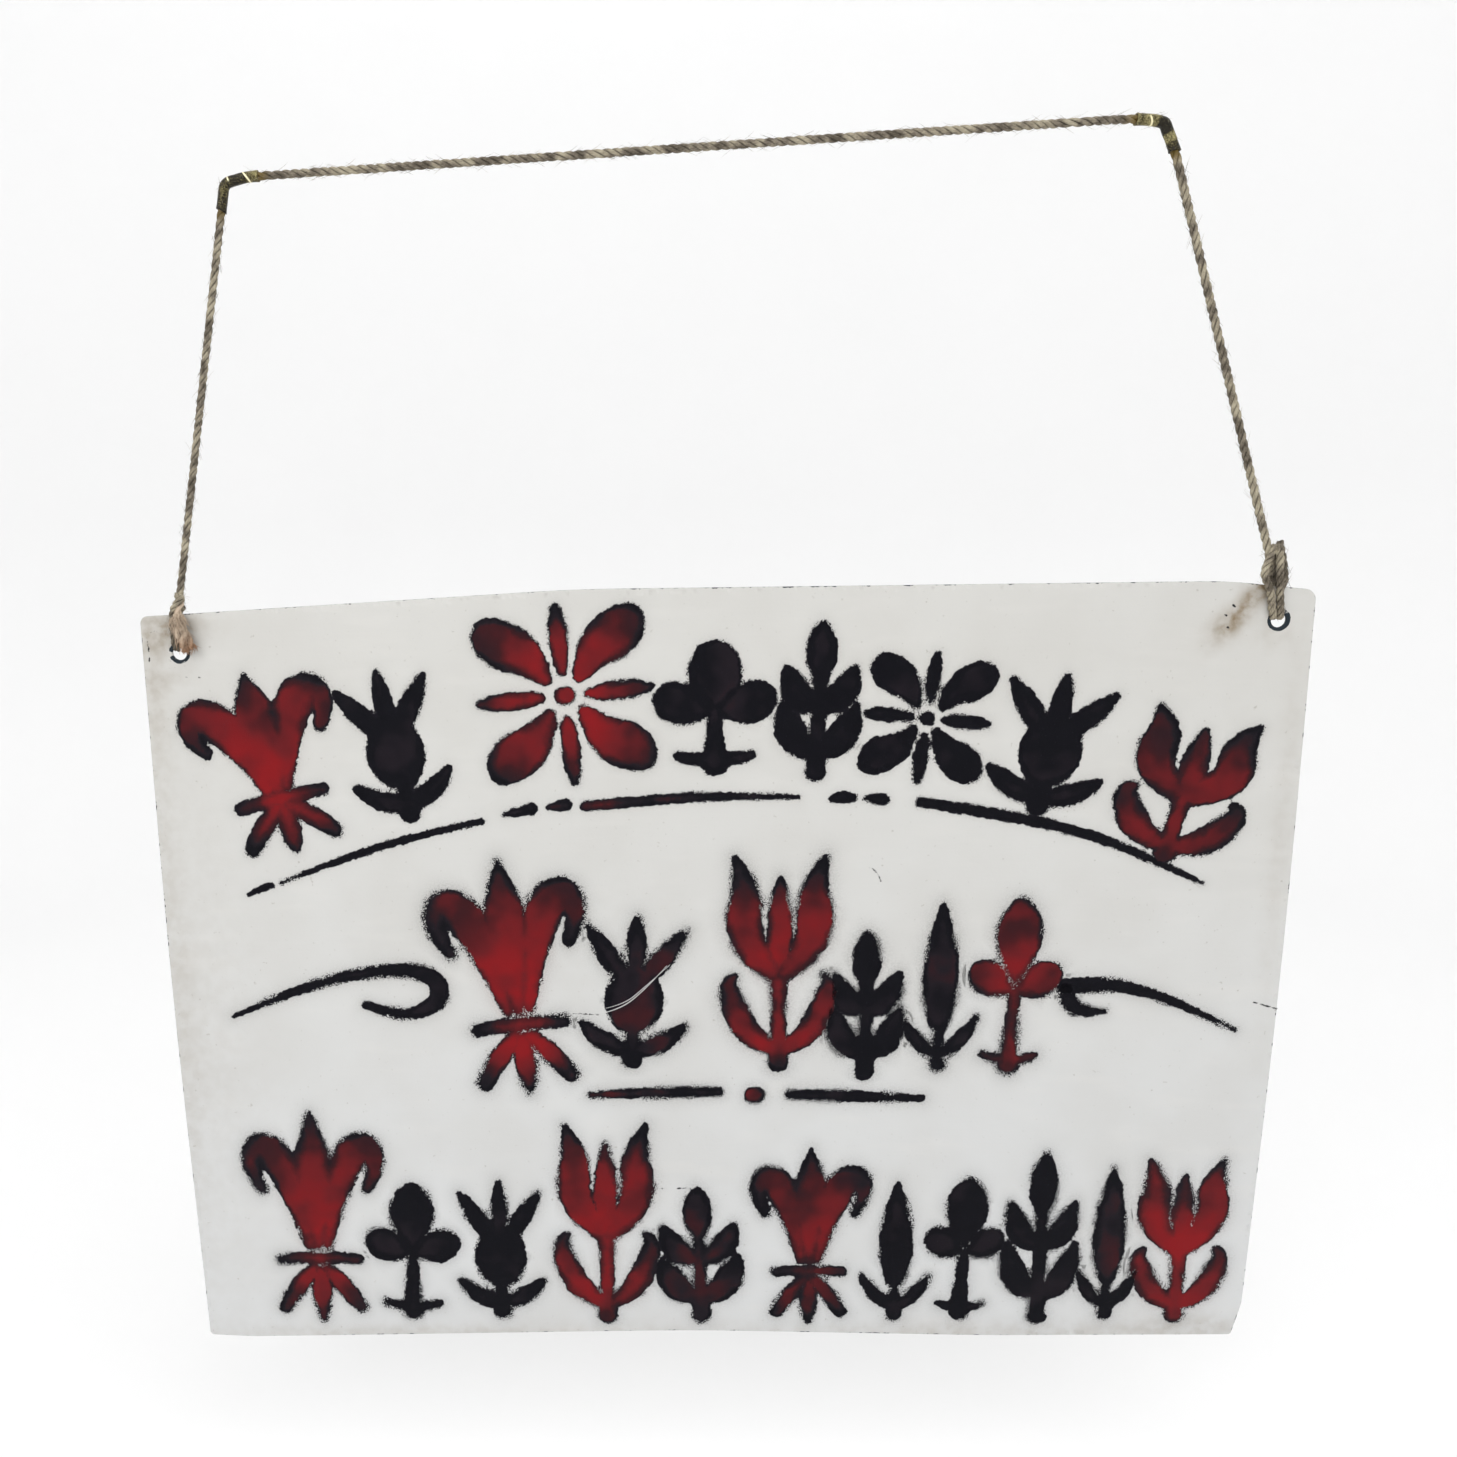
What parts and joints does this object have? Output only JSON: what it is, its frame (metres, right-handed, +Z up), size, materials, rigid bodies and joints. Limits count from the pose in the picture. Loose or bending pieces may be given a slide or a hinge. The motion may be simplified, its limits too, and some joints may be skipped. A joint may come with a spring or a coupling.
{
  "type": "metal wall plaque",
  "caption": "Thin painted metal sheet sign, landscape, with a hole in each upper corner, hung by a tight twine over two supports.",
  "frame": {"origin": "middle of the sheet, halfway through its thickness", "axes": "+X to the reader's right along the sheet, +Z up the sheet, and the painted front faces -Y"},
  "size_m": [0.4208, 0.0084, 0.4494],
  "materials": {
    "painted_sheet": "off-white paint, satin, worn at the corners",
    "twine": "natural bast fibre, twisted, dusty",
    "brass_tube": "polished and tarnished"
  },
  "bodies": {
    "root": {"plate": "painted_sheet", "cord": "twine", "left_loop": "twine", "right_loop_inner": "twine", "right_loop_outer": "twine", "left_knot": "twine", "right_knot": "twine", "left_tail": "twine", "right_stub": "twine", "left_sleeve": "brass_tube", "right_sleeve": "brass_tube"}
  },
  "joints": []
}
